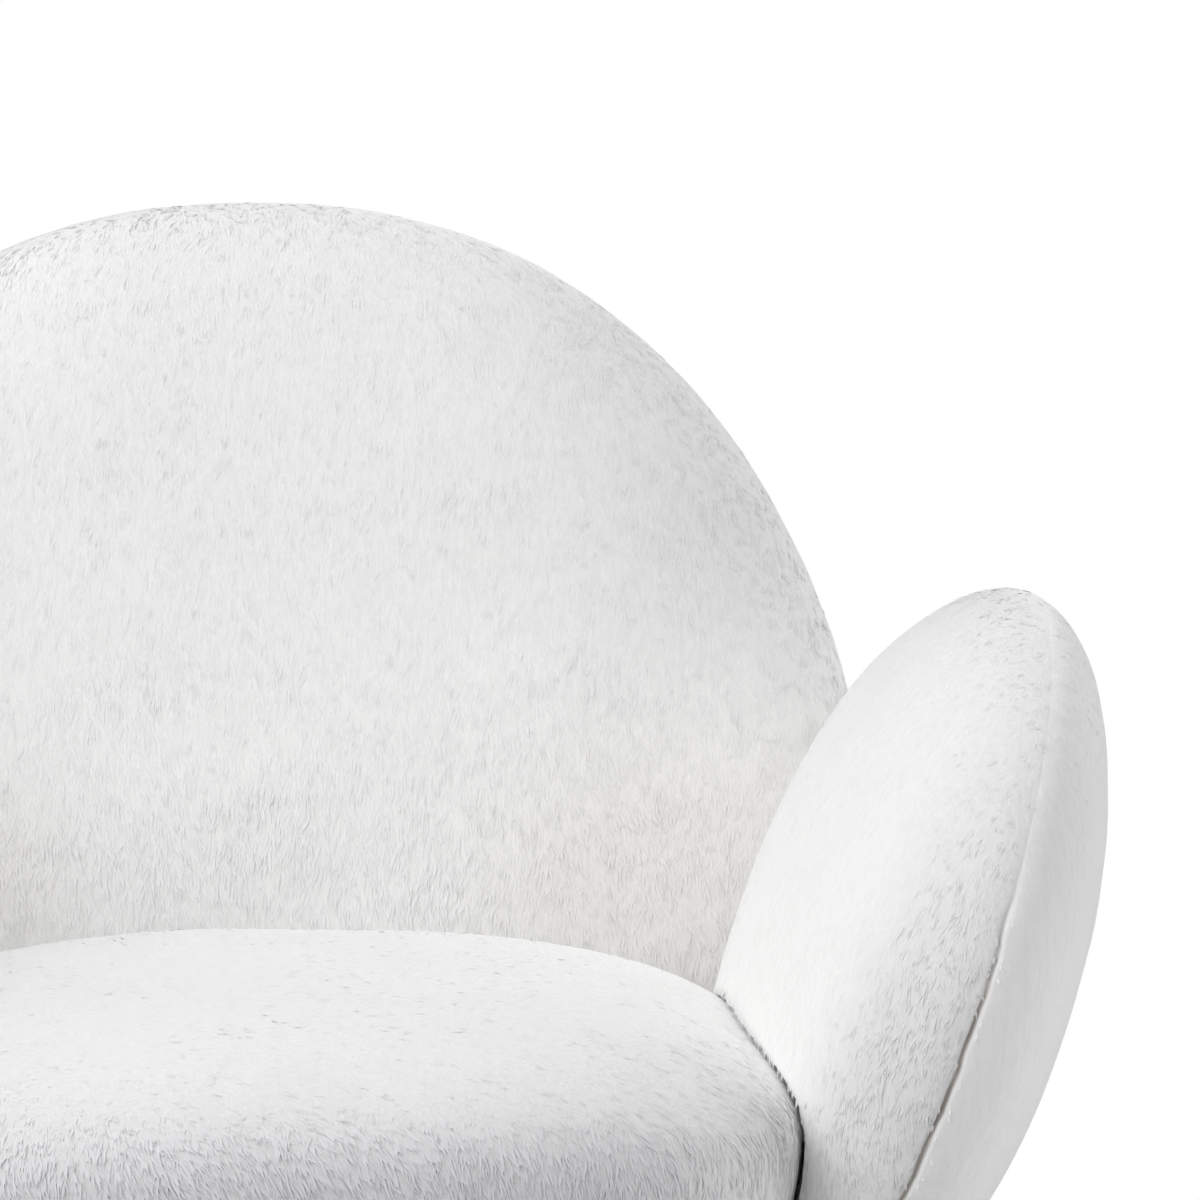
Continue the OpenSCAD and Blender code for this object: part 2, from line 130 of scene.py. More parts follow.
def make_floor():
    rings, n = 24, 96
    verts = [(0.0, 0.0, 0.0)]
    faces = []
    for j in range(1, rings + 1):
        r = 1.25 * j / rings
        verts += [(r * math.cos(2 * math.pi * i / n), r * math.sin(2 * math.pi * i / n), 0.0) for i in range(n)]
    for i in range(n):
        faces.append((0, 1 + i, 1 + (i + 1) % n))
    for j in range(rings - 1):
        a = 1 + j * n
        for i in range(n):
            faces.append((a + i, a + n + i, a + n + (i + 1) % n, a + (i + 1) % n))
    me = bpy.data.meshes.new("floor")
    me.from_pydata(verts, [], faces)
    floor = bpy.data.objects.new("floor", me)
    scene.collection.objects.link(floor)
    mat, nt, bsdf = new_material("floor_pale", roughness=0.55)
    path = nt.nodes.new("ShaderNodeLightPath")
    shade = mixed(nt, path.outputs["Is Camera Ray"], (BOUNCE, BOUNCE, BOUNCE), (0.88, 0.88, 0.88))
    nt.links.new(shade, bsdf.inputs["Base Color"])
    bsdf.inputs["Specular IOR Level"].default_value = 0.25
    out = next(n for n in nt.nodes if n.type == "OUTPUT_MATERIAL")
    glow = nt.nodes.new("ShaderNodeEmission")
    glow.inputs["Color"].default_value = (1, 1, 1, 1)
    glow.inputs["Strength"].default_value = 1.0
    coord = nt.nodes.new("ShaderNodeTexCoord")
    length = nt.nodes.new("ShaderNodeVectorMath")
    length.operation = "LENGTH"
    ramp = nt.nodes.new("ShaderNodeMapRange")
    ramp.interpolation_type = "SMOOTHSTEP"
    ramp.inputs["From Min"].default_value = 0.55
    ramp.inputs["From Max"].default_value = 1.15
    mix = nt.nodes.new("ShaderNodeMixShader")
    nt.links.new(coord.outputs["Object"], length.inputs[0])
    nt.links.new(length.outputs["Value"], ramp.inputs["Value"])
    seen = nt.nodes.new("ShaderNodeMath")
    seen.operation = "MULTIPLY"
    nt.links.new(ramp.outputs["Result"], seen.inputs[0])
    nt.links.new(path.outputs["Is Camera Ray"], seen.inputs[1])
    nt.links.new(seen.outputs[0], mix.inputs[0])
    nt.links.new(bsdf.outputs[0], mix.inputs[1])
    nt.links.new(glow.outputs[0], mix.inputs[2])
    nt.links.new(mix.outputs[0], out.inputs[0])
    me.materials.append(mat)
    return floor


# ---------------------------------------------------------------- materials
def new_material(name, roughness=0.5, metallic=0.0):
    mat = bpy.data.materials.new(name)
    mat.use_nodes = True
    nt = mat.node_tree
    nt.nodes.clear()
    out = nt.nodes.new("ShaderNodeOutputMaterial")
    bsdf = nt.nodes.new("ShaderNodeBsdfPrincipled")
    bsdf.inputs["Roughness"].default_value = roughness
    bsdf.inputs["Metallic"].default_value = metallic
    nt.links.new(bsdf.outputs[0], out.inputs[0])
    return mat, nt, bsdf


def noise(nt, scale, detail=3.0, rough=0.5, stretch=(1, 1, 1), turn=(0, 0, 0)):
    coord = nt.nodes.new("ShaderNodeTexCoord")
    place = nt.nodes.new("ShaderNodeMapping")
    place.inputs["Scale"].default_value = stretch
    place.inputs["Rotation"].default_value = turn
    tex = nt.nodes.new("ShaderNodeTexNoise")
    tex.inputs["Scale"].default_value = scale
    tex.inputs["Detail"].default_value = detail
    tex.inputs["Roughness"].default_value = rough
    nt.links.new(coord.outputs["Object"], place.inputs[0])
    nt.links.new(place.outputs[0], tex.inputs["Vector"])
    return tex.outputs["Fac"]


def ramp(nt, value, stops):
    node = nt.nodes.new("ShaderNodeValToRGB")
    cr = node.color_ramp
    while len(cr.elements) < len(stops):
        cr.elements.new(0.5)
    for e, (at, colour) in zip(cr.elements, stops):
        e.position = at
        e.color = (*colour, 1) if len(colour) == 3 else (colour[0],) * 3 + (1,)
    nt.links.new(value, node.inputs[0])
    return node.outputs["Color"]


def spread(nt, value, low, high, lo_in=0.3, hi_in=0.7):
    node = nt.nodes.new("ShaderNodeMapRange")
    node.inputs["From Min"].default_value = lo_in
    node.inputs["From Max"].default_value = hi_in
    node.inputs["To Min"].default_value = low
    node.inputs["To Max"].default_value = high
    nt.links.new(value, node.inputs["Value"])
    return node.outputs["Result"]


def bump(nt, bsdf, value, strength, distance):
    node = nt.nodes.new("ShaderNodeBump")
    node.inputs["Strength"].default_value = strength
    node.inputs["Distance"].default_value = distance
    nt.links.new(value, node.inputs["Height"])
    nt.links.new(node.outputs[0], bsdf.inputs["Normal"])


def mixed(nt, factor, a, b, kind="MIX"):
    node = nt.nodes.new("ShaderNodeMix")
    node.data_type = "RGBA"
    node.blend_type = kind
    if isinstance(factor, float):
        node.inputs["Factor"].default_value = factor
    else:
        nt.links.new(factor, node.inputs["Factor"])
    for key, x in (("A", a), ("B", b)):
        sockets = [s for s in node.inputs if s.name == key and s.type == "RGBA"]
        if isinstance(x, tuple):
            sockets[0].default_value = (*x, 1)
        else:
            nt.links.new(x, sockets[0])
    return [s for s in node.outputs if s.type == "RGBA"][0]


def painted_steel():
    mat, nt, bsdf = new_material("satin_black_powder_coat")
    cloud = noise(nt, 22, 4, 0.6)
    colour = ramp(nt, cloud, [(0.3, (0.016, 0.016, 0.018)), (0.7, (0.030, 0.030, 0.032))])
    scuff = noise(nt, 160, 2, 0.5, stretch=(1, 1, 6))
    worn = ramp(nt, scuff, [(0.70, (0.0,)), (0.80, (0.35,))])
    nt.links.new(mixed(nt, worn, colour, (0.07, 0.07, 0.072)), bsdf.inputs["Base Color"])
    nt.links.new(spread(nt, noise(nt, 60, 3, 0.6), 0.34, 0.52), bsdf.inputs["Roughness"])
    bump(nt, bsdf, noise(nt, 900, 2, 0.5), 0.18, 0.0004)
    return mat


def zinc():
    mat, nt, bsdf = new_material("bright_zinc", metallic=1.0)
    colour = ramp(nt, noise(nt, 120, 3, 0.6), [(0.3, (0.56, 0.57, 0.60)), (0.7, (0.72, 0.73, 0.74))])
    nt.links.new(colour, bsdf.inputs["Base Color"])
    nt.links.new(spread(nt, noise(nt, 300, 3, 0.6), 0.24, 0.42), bsdf.inputs["Roughness"])
    bump(nt, bsdf, noise(nt, 1500, 2, 0.5, stretch=(1, 1, 8)), 0.15, 0.0002)
    return mat


def brass():
    mat, nt, bsdf = new_material("plain_brass", metallic=1.0)
    colour = ramp(nt, noise(nt, 150, 3, 0.6), [(0.3, (0.52, 0.37, 0.15)), (0.7, (0.72, 0.56, 0.28))])
    nt.links.new(colour, bsdf.inputs["Base Color"])
    nt.links.new(spread(nt, noise(nt, 400, 2, 0.5), 0.28, 0.44), bsdf.inputs["Roughness"])
    bump(nt, bsdf, noise(nt, 1200, 2, 0.5), 0.2, 0.0002)
    return mat


def nylon():
    mat, nt, bsdf = new_material("natural_nylon")
    colour = ramp(nt, noise(nt, 90, 3, 0.5), [(0.3, (0.70, 0.66, 0.56)), (0.7, (0.80, 0.77, 0.68))])
    nt.links.new(colour, bsdf.inputs["Base Color"])
    nt.links.new(spread(nt, noise(nt, 240, 3, 0.5), 0.38, 0.55), bsdf.inputs["Roughness"])
    bump(nt, bsdf, noise(nt, 1400, 2, 0.5), 0.12, 0.0003)
    return mat


def rubber():
    mat, nt, bsdf = new_material("moulded_black_rubber")
    colour = ramp(nt, noise(nt, 70, 4, 0.6), [(0.3, (0.012, 0.012, 0.012)), (0.72, (0.034, 0.033, 0.032))])
    nt.links.new(colour, bsdf.inputs["Base Color"])
    nt.links.new(spread(nt, noise(nt, 150, 3, 0.6), 0.62, 0.85), bsdf.inputs["Roughness"])
    bump(nt, bsdf, noise(nt, 1100, 3, 0.6), 0.35, 0.0004)
    return mat


def plywood():
    mat, nt, bsdf = new_material("birch_plywood", roughness=0.6)
    warp = noise(nt, 6, 3, 0.6, stretch=(0.4, 6, 14))
    grain = ramp(nt, warp, [(0.25, (0.50, 0.35, 0.20)), (0.5, (0.66, 0.50, 0.32)), (0.75, (0.74, 0.60, 0.42))])
    fine = noise(nt, 160, 3, 0.6, stretch=(0.3, 4, 6))
    pores = ramp(nt, fine, [(0.3, (0.82,)), (0.6, (1.0,))])
    nt.links.new(mixed(nt, 1.0, grain, pores, "MULTIPLY"), bsdf.inputs["Base Color"])
    bump(nt, bsdf, fine, 0.25, 0.0005)
    return mat


def foam():
    mat, nt, bsdf = new_material("seat_foam", roughness=0.95)
    coord = nt.nodes.new("ShaderNodeTexCoord")
    cells = nt.nodes.new("ShaderNodeTexVoronoi")
    cells.inputs["Scale"].default_value = 420
    nt.links.new(coord.outputs["Object"], cells.inputs["Vector"])
    colour = ramp(nt, cells.outputs["Distance"], [(0.0, (0.50, 0.42, 0.24)), (0.5, (0.86, 0.78, 0.54))])
    nt.links.new(colour, bsdf.inputs["Base Color"])
    bump(nt, bsdf, cells.outputs["Distance"], 0.5, 0.001)
    return mat


def nonwoven():
    mat, nt, bsdf = new_material("black_nonwoven", roughness=0.95)
    a = noise(nt, 420, 3, 0.6, stretch=(1, 7, 7), turn=(0, 0, 0.5))
    b = noise(nt, 420, 3, 0.6, stretch=(7, 1, 7), turn=(0, 0, 0.3))
    fibres = mixed(nt, 1.0, ramp(nt, a, [(0.35, (0.3,)), (0.65, (1.0,))]), ramp(nt, b, [(0.35, (0.4,)), (0.65, (1.0,))]), "MULTIPLY")
    nt.links.new(mixed(nt, 1.0, fibres, (0.060, 0.060, 0.062), "MULTIPLY"), bsdf.inputs["Base Color"])
    bump(nt, bsdf, a, 0.4, 0.0006)
    bsdf.inputs["Sheen Weight"].default_value = 0.15
    return mat


def fur_backing():
    """The knitted backing with its underfur, seen between the strands."""
    mat, nt, bsdf = new_material("fur_backing", roughness=0.95)
    cloud = noise(nt, 14, 3, 0.55)
    tint = ramp(nt, cloud, [(0.3, (0.885, 0.880, 0.870)), (0.7, (0.905, 0.901, 0.894))])
    streak = noise(nt, 300, 3, 0.6, stretch=(1, 1, 0.22))
    grain = ramp(nt, streak, [(0.3, (0.95,)), (0.65, (1.0,))])
    # painted shade: the backing turns dark brown-grey along the arm seam groove, standing in for the shade that falls
    # into it
    painted_seam_shade = nt.nodes.new("ShaderNodeAttribute")
    painted_seam_shade.attribute_name = "painted_seam_shade"
    seam_shade_colour = ramp(nt, painted_seam_shade.outputs["Fac"], [(0.25, (1.0, 1.0, 1.0)), (0.9, (0.50, 0.46, 0.42))])
    # painted shade: the fur rules' darkening, with its warm cast in the back's low corners, multiplied into the backing
    # colour
    dim = nt.nodes.new("ShaderNodeAttribute")
    dim.attribute_name = "backing_painted_shade"
    left = nt.nodes.new("ShaderNodeVectorMath")
    left.operation = "SUBTRACT"
    left.inputs[0].default_value = (1, 1, 1)
    nt.links.new(dim.outputs["Vector"], left.inputs[1])
    plain = mixed(nt, 1.0, mixed(nt, 1.0, tint, grain, "MULTIPLY"), seam_shade_colour, "MULTIPLY")
    nt.links.new(mixed(nt, 1.0, plain, left.outputs["Vector"], "MULTIPLY"), bsdf.inputs["Base Color"])
    bsdf.inputs["Specular IOR Level"].default_value = 0.1
    bsdf.inputs["Sheen Weight"].default_value = 0.6
    bsdf.inputs["Sheen Roughness"].default_value = 0.5
    bump(nt, bsdf, streak, 0.5, 0.0015)
    return mat


def fur_strands():
    mat, nt, bsdf = new_material("white_fur", roughness=0.85)
    tip = nt.nodes.new("ShaderNodeAttribute")
    tip.attribute_name = "fur_tip"
    tone = nt.nodes.new("ShaderNodeAttribute")
    tone.attribute_name = "fur_tone"
    along = ramp(nt, tip.outputs["Fac"], [(0.0, FUR_ROOT), (0.45, FUR_MID), (1.0, FUR_TIP)])
    each = ramp(nt, tone.outputs["Fac"], [(0.0, FUR_DULL), (0.6, (1.0, 1.0, 1.0))])
    cloud = ramp(nt, noise(nt, 9, 3, 0.55), [(0.3, (0.993, 0.992, 0.990)), (0.65, (1.0, 1.0, 1.0))])
    # painted shade from the fur rules, multiplied into the strand colour
    tint = nt.nodes.new("ShaderNodeAttribute")
    tint.attribute_name = "fur_tint"
    colour = mixed(nt, 1.0, mixed(nt, 1.0, along, each, "MULTIPLY"), mixed(nt, 1.0, cloud, tint.outputs["Vector"], "MULTIPLY"), "MULTIPLY")
    nt.links.new(colour, bsdf.inputs["Base Color"])
    bsdf.inputs["Specular IOR Level"].default_value = 0.15
    bsdf.inputs["Sheen Weight"].default_value = 0.7
    bsdf.inputs["Sheen Roughness"].default_value = 0.45
    return mat


# ---------------------------------------------------------------- mesh tools
def mesh_object(name, verts, loops, sizes, mats, smooth=True):
    """A mesh from numpy arrays: loops are vertex numbers face by face, sizes the corners of each face."""
    me = bpy.data.meshes.new(name)
    me.vertices.add(len(verts))
    me.vertices.foreach_set("co", np.ascontiguousarray(verts, np.float32).ravel())
    me.loops.add(len(loops))
    me.loops.foreach_set("vertex_index", np.ascontiguousarray(loops, np.int32).ravel())
    me.polygons.add(len(sizes))
    starts = np.concatenate([[0], np.cumsum(sizes)[:-1]]).astype(np.int32)
    me.polygons.foreach_set("loop_start", starts)
    me.polygons.foreach_set("use_smooth", np.full(len(sizes), smooth))
    me.update(calc_edges=True)
    for m in mats:
        me.materials.append(m)
    ob = bpy.data.objects.new(name, me)
    scene.collection.objects.link(ob)
    return ob


def arrays(me):
    """Vertices, triangle corners, and the loops and sizes of the faces of a mesh."""
    v = np.empty(len(me.vertices) * 3, np.float32)
    me.vertices.foreach_get("co", v)
    loops = np.empty(len(me.loops), np.int32)
    me.loops.foreach_get("vertex_index", loops)
    sizes = np.empty(len(me.polygons), np.int32)
    me.polygons.foreach_get("loop_total", sizes)
    return v.reshape(-1, 3).astype(float), loops, sizes


def triangles(loops, sizes):
    first = np.concatenate([[0], np.cumsum(sizes)[:-1]])
    tris = []
    for k in range(1, sizes.max() - 1):
        sel = sizes > k + 1
        f = first[sel]
        tris.append(np.stack([loops[f], loops[f + k], loops[f + k + 1]], 1))
    return np.concatenate(tris)


def vertex_normals(v, tris):
    fn = np.cross(v[tris[:, 1]] - v[tris[:, 0]], v[tris[:, 2]] - v[tris[:, 0]])
    n = np.zeros_like(v)
    for k in range(3):
        np.add.at(n, tris[:, k], fn)
    return n / np.maximum(np.linalg.norm(n, axis=1, keepdims=True), 1e-20)


def grid_faces(rings, n, cap_low, cap_high):
    """Quads over rings of n points, with a fan to an apex at either end. Returns loops and sizes. Apexes come after the rings."""
    loops, sizes = [], []
    base_low, base_high = rings * n, rings * n + int(cap_low)
    if cap_low:
        for i in range(n):
            loops += [base_low, (i + 1) % n, i]
            sizes.append(3)
    for j in range(rings - 1):
        a = j * n
        for i in range(n):
            k = (i + 1) % n
            loops += [a + i, a + k, a + n + k, a + n + i]
            sizes.append(4)
    if cap_high:
        a = (rings - 1) * n
        for i in range(n):
            loops += [base_high, a + i, a + (i + 1) % n]
            sizes.append(3)
    return np.array(loops, np.int32), np.array(sizes, np.int32)


def puffed(name, verts, loops, sizes, pins, cap, start, frames=20, pressure=4.0, stiff=15.0):
    """A bag of cloth, start metres inside its outline, blown up by Blender's cloth. Each point moves cap metres at most. The bag then fills its outline to SKIN and strays STRAY from it at most, and pinned points lie a little lower."""
    out_dir = vertex_normals(verts, triangles(loops, sizes))
    ob = mesh_object(name + "_bag", verts, loops, sizes, [])
    group = ob.vertex_groups.new(name="pin")
    group.add([int(i) for i in pins], 1.0, "REPLACE")
    mod = ob.modifiers.new("puff", "CLOTH")
    s = mod.settings
    s.use_pressure = True
    s.uniform_pressure_force = pressure
    s.effector_weights.gravity = 0.0
    s.tension_stiffness = s.compression_stiffness = stiff
    s.bending_stiffness = 2.0
    s.vertex_group_mass = "pin"
    s.quality = 5
    mod.collision_settings.use_self_collision = False
    mod.point_cache.frame_start, mod.point_cache.frame_end = 1, frames
    for f in range(1, frames + 1):
        scene.frame_set(f)
    dg = bpy.context.evaluated_depsgraph_get()
    got = ob.evaluated_get(dg).to_mesh()
    out = np.empty(len(got.vertices) * 3, np.float32)
    got.vertices.foreach_get("co", out)
    ob.evaluated_get(dg).to_mesh_clear()
    me = ob.data
    bpy.data.objects.remove(ob)
    bpy.data.meshes.remove(me)
    scene.frame_set(1)
    move = out.reshape(-1, 3).astype(float) - verts
    far = np.linalg.norm(move, axis=1, keepdims=True)
    move *= np.minimum(1.0, cap / np.maximum(far, 1e-9))
    outward_move = np.einsum("ij,ij->i", move, out_dir)
    loose = np.ones(len(verts), bool)
    loose[pins] = False
    mean = outward_move[loose].mean()
    print(f"puff {name}: mean {1000 * mean:.2f} mm, spread {1000 * outward_move[loose].std():.2f} mm, most {1000 * far.max():.2f} mm")
    fill = np.where(loose, start - SKIN - mean, start - SKIN - 0.0003)
    stray = move + out_dir * (fill - start + SKIN)[:, None]
    far = np.maximum(np.linalg.norm(stray, axis=1, keepdims=True), 1e-9)
    return verts + out_dir * (start - SKIN) + stray * STRAY * np.tanh(far / STRAY) / far


def subdivided(name, verts, loops, sizes, levels):
    ob = mesh_object(name + "_cage", verts, loops, sizes, [])
    mod = ob.modifiers.new("smooth", "SUBSURF")
    mod.levels = mod.render_levels = levels
    dg = bpy.context.evaluated_depsgraph_get()
    me = bpy.data.meshes.new_from_object(ob.evaluated_get(dg))
    out = arrays(me)
    cage = ob.data
    bpy.data.objects.remove(ob)
    bpy.data.meshes.remove(cage)
    bpy.data.meshes.remove(me)
    return out


def spow(v, e):
    return np.sign(v) * np.abs(v) ** e


def smoothstep(x, a, b):
    t = np.clip((x - a) / (b - a), 0, 1)
    return t * t * (3 - 2 * t)


SEAT_W, SEAT_D, SEAT_Y, SEAT_LOW, SEAT_Z, SEAT_CROWN, SEAT_P, SEAT_ROLL = 0.245, 0.245, -0.100, 0.305, 0.396, 0.062, 2.6, 4.0


def seat_side(y, z):
    """Half width of the seat cushion at depth y and height z, and 0 outside it."""
    over = np.clip((z - SEAT_Z) / SEAT_CROWN, 0, 1)
    under = np.clip((SEAT_Z - z) / (SEAT_Z - SEAT_LOW), 0, 1)
    low = 1 - 0.16 * under ** 2.2
    k = (1 - over ** 2.2) ** (1 / 2.2) * low
    kf = (1 - over ** SEAT_ROLL) ** (1 / SEAT_ROLL) * low
    run = np.abs(y - SEAT_Y) / np.maximum(np.where(y < SEAT_Y, kf, k) * SEAT_D, 1e-6)
    inside = (run < 1) & (z > SEAT_LOW) & (z < SEAT_Z + SEAT_CROWN)
    return np.where(inside, k * SEAT_W * np.maximum(1 - np.minimum(run, 1) ** SEAT_P, 0) ** (1 / SEAT_P), 0.0)


class Waves:
    """Smooth 3-D noise from a few plane waves, about -1 to 1."""

    def __init__(self, seed, size, count=14):
        rng = np.random.default_rng(seed)
        k = rng.normal(size=(count, 3))
        self.k = k / np.linalg.norm(k, axis=1, keepdims=True) * (2 * np.pi / size) * rng.uniform(0.6, 1.5, (count, 1))
        self.phase = rng.uniform(0, 2 * np.pi, count)

    def __call__(self, p):
        return np.sin(p @ self.k.T + self.phase).sum(1) / math.sqrt(len(self.phase) / 2) / 1.6


# ---------------------------------------------------------------- pads
class Pad:
    """A domed pad: half width, height up and down, half thickness, outline power, roundness and wrap, in metres, and its place."""

    def __init__(self, a, up, down, t, p, q, wrap, place):
        self.a, self.up, self.down, self.t, self.p, self.q, self.wrap = a, up, down, t, p, q, wrap
        self.place = place
        self.inverse = place.inverted()

    def local(self, phi, th, grow):
        a, up, down, t = self.a + grow, self.up + grow, self.down + grow, self.t + grow
        c = np.abs(np.cos(phi)) ** (2 / self.q)
        x = a * c * spow(np.cos(th), 2 / self.p)
        k = c * spow(np.sin(th), 2 / self.p)
        y = t * spow(np.sin(phi), 2 / self.q) - self.wrap * (x / a) ** 2
        return np.stack([x, y, np.where(k >= 0, up * k, down * k)], -1)

    def to_world(self, p):
        m = np.array(self.place)
        return p @ m[:3, :3].T + m[:3, 3]

    def to_local(self, p):
        m = np.array(self.inverse)
        return p @ m[:3, :3].T + m[:3, 3]

    def side(self, local):
        """Signed distance from the seam surface, and the share of the way from crown (0) to seam (1)."""
        s = local[:, 1] + self.wrap * (local[:, 0] / self.a) ** 2
        u = np.clip(np.abs(s) / self.t, 0, 1) ** (self.q / 2)
        return s, 1 - np.arcsin(u) * 2 / np.pi

    def uv(self, local):
        s, rim = self.side(local)
        flat = np.stack([local[:, 0] / self.a, np.where(local[:, 2] > 0, local[:, 2] / self.up, local[:, 2] / self.down)], 1)
        flat /= np.maximum(np.linalg.norm(flat, axis=1, keepdims=True), 1e-9)
        return np.stack([0.25 + 0.24 * rim * flat[:, 0] + np.where(s > 0, 0.5, 0), 0.5 + 0.48 * rim * flat[:, 1]], 1)


def even_angles(pad, n):
    """Angles that walk the pad's outline in even steps."""
    th = np.linspace(0, 2 * np.pi, 4001)
    p = pad.local(np.zeros_like(th), th, 0)
    run = np.concatenate([[0], np.cumsum(np.linalg.norm(np.diff(p, axis=0), axis=1))])
    return np.interp(np.arange(n) / n * run[-1], run, th)


def pad_cage(pad, n, grow):
    th = even_angles(pad, n)
    half = [0.6, 1.6, 3.6, 7.5, 13, 20, 28, 36, 44, 52, 60, 68, 75.5, 82.5]
    phis = np.radians([-x for x in half[::-1]] + [0.0] + half)
    rows = [pad.local(np.full(n, phi), th, grow) for phi in phis]
    ends = [pad.local(np.array([s * np.pi / 2]), np.array([0.0]), grow) for s in (-1, 1)]
    v = pad.to_world(np.concatenate(rows + ends))
    loops, sizes = grid_faces(len(phis), n, True, True)
    seam = np.arange(n) + len(half) * n
    return v, loops, sizes, seam


def outward(v, loops, sizes):
    """Turns the faces round if the closed mesh is inside out."""
    t = triangles(loops, sizes)
    volume = np.einsum("ij,ij->i", v[t[:, 0]], np.cross(v[t[:, 1]], v[t[:, 2]])).sum()
    if volume > 0:
        return loops
    first = np.concatenate([[0], np.cumsum(sizes)[:-1]])
    out = loops.copy()
    for f, s in zip(first, sizes):
        out[f:f + s] = loops[f:f + s][::-1]
    return out


def build_pad(name, pad, mats, seam_depth, seam_width, cap, seed, cage=112, pressed=False, seam_top=2.0, shadow=0.0):
    v, loops, sizes, seam = pad_cage(pad, cage, -START)
    loops = outward(v, loops, sizes)
    v = puffed(name, v, loops, sizes, seam, cap, START)
    v, loops, sizes = subdivided(name, v, loops, sizes, 2)
    tris = triangles(loops, sizes)
    nrm = vertex_normals(v, tris)
    local = pad.to_local(v)
    s, rim = pad.side(local)
    calm = 1 - 0.75 * np.exp(-((s / 0.03) ** 2))
    soft = (Waves(seed, 0.14)(v) * 0.0007 + Waves(seed + 1, 0.045)(v) * 0.00012) * calm
    wander = 0.0007 * Waves(seed + 4, 0.022)(v)
    dip = np.exp(-(((s - wander) / seam_width) ** 2)) * smoothstep(v[:, 2], seam_top + 0.02, seam_top - 0.08)
    groove = seam_depth * dip * (1 + 0.25 * Waves(seed + 2, 0.03)(v))
    pucker = 0.0003 * np.exp(-((s / 0.010) ** 2)) * Waves(seed + 3, 0.014)(v) * (shadow > 0)
    v = v + nrm * (soft - groove + pucker)[:, None]
    if pressed:
        v[:, 0] = np.sign(v[:, 0]) * np.maximum(np.abs(v[:, 0]), seat_side(v[:, 1], v[:, 2]) - 0.0010)
    ob = mesh_object(name, v, loops, sizes, mats)
    # painted shade: the seam-groove mask times shadow, which darkens the backing colour where shade falls in the groove
    layer = ob.data.attributes.new("painted_seam_shade", "FLOAT", "POINT")
    layer.data.foreach_set("value", (dip * shadow).astype(np.float32))
    give_uv(ob, pad.uv(pad.to_local(v)), loops)
    return ob, v, tris, vertex_normals(v, tris)


def give_uv(ob, per_vertex, loops):
    layer = ob.data.uv_layers.new(name="OFBake")
    layer.uv.foreach_set("vector", per_vertex[loops].astype(np.float32).ravel())


